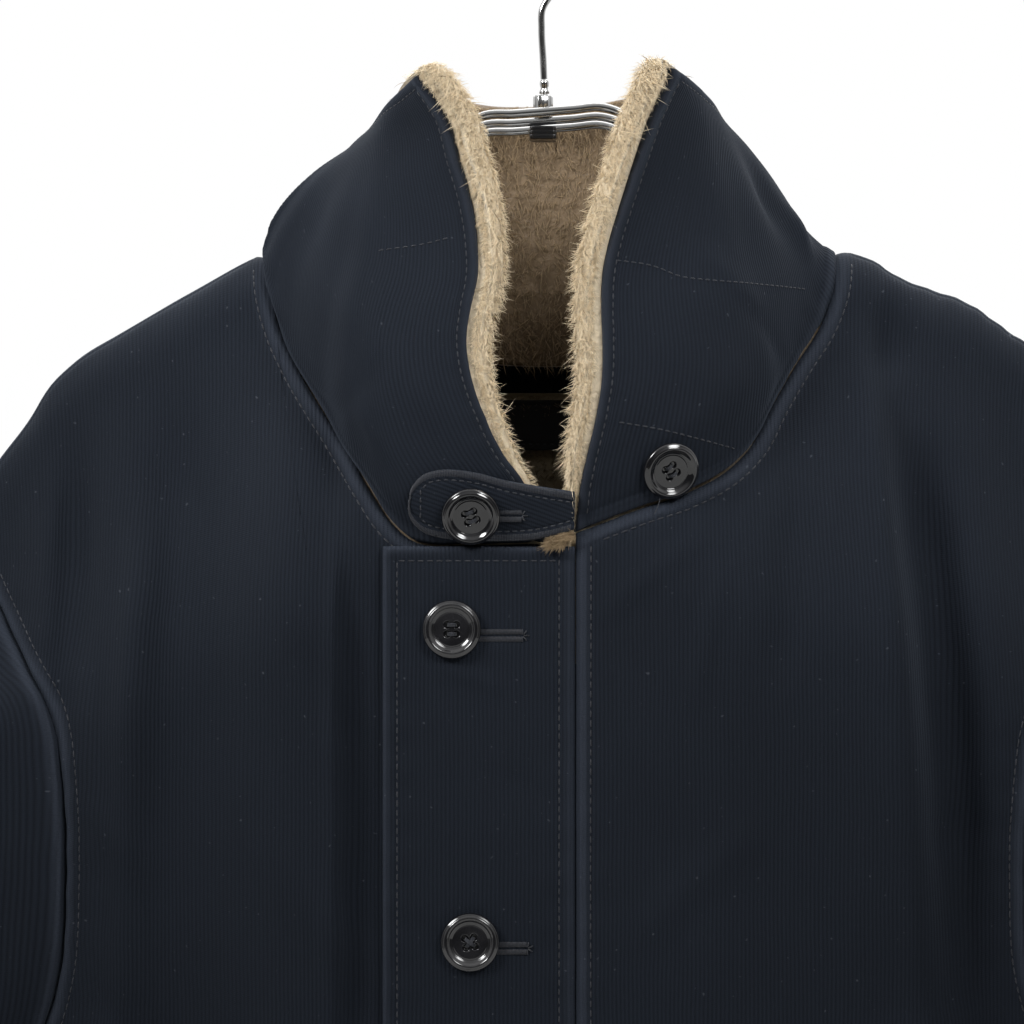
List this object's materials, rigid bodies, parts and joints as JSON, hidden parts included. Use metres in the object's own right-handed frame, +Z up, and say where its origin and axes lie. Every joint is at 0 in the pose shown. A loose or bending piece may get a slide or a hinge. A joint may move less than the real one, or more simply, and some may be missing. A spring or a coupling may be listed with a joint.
{
  "type": "deck jacket on a hanger",
  "caption": "Hip-length deck jacket of corded cloth with a standing pile-lined collar, chin tab and buttoned front placket, on a chrome wire hanger.",
  "frame": {"origin": "point at the inside of the hook's top where a rod carries it", "axes": "+X to the right as seen from the front, -Y out of the front, +Z up"},
  "size_m": [0.734, 0.1698, 0.8848],
  "materials": {
    "navy_cord": "fine corded cloth, matt",
    "beige_pile": "curly pile",
    "brown_lining": "short pile",
    "black_patch": "plain woven",
    "black_button": "polished",
    "chrome_wire": "polished",
    "black_bracket": "moulded"
  },
  "bodies": {
    "root": {"back": "navy_cord", "front_left": "navy_cord", "front_right": "navy_cord", "sleeve_left": "navy_cord", "sleeve_right": "navy_cord", "collar_shell": "navy_cord", "placket": "navy_cord", "chin_tab": "navy_cord", "collar_pile": "beige_pile", "back_lining": "brown_lining", "neck_patch": "black_patch", "front_button_1": "black_button", "front_button_2": "black_button", "front_button_3": "black_button", "front_button_4": "black_button", "front_button_5": "black_button", "tab_button": "black_button", "collar_button": "black_button", "hanger_hook": "chrome_wire", "hanger_nut": "chrome_wire", "hanger_bracket": "black_bracket", "hanger_wire_front": "chrome_wire", "hanger_wire_middle": "chrome_wire", "hanger_wire_rear": "chrome_wire"}
  },
  "joints": []
}
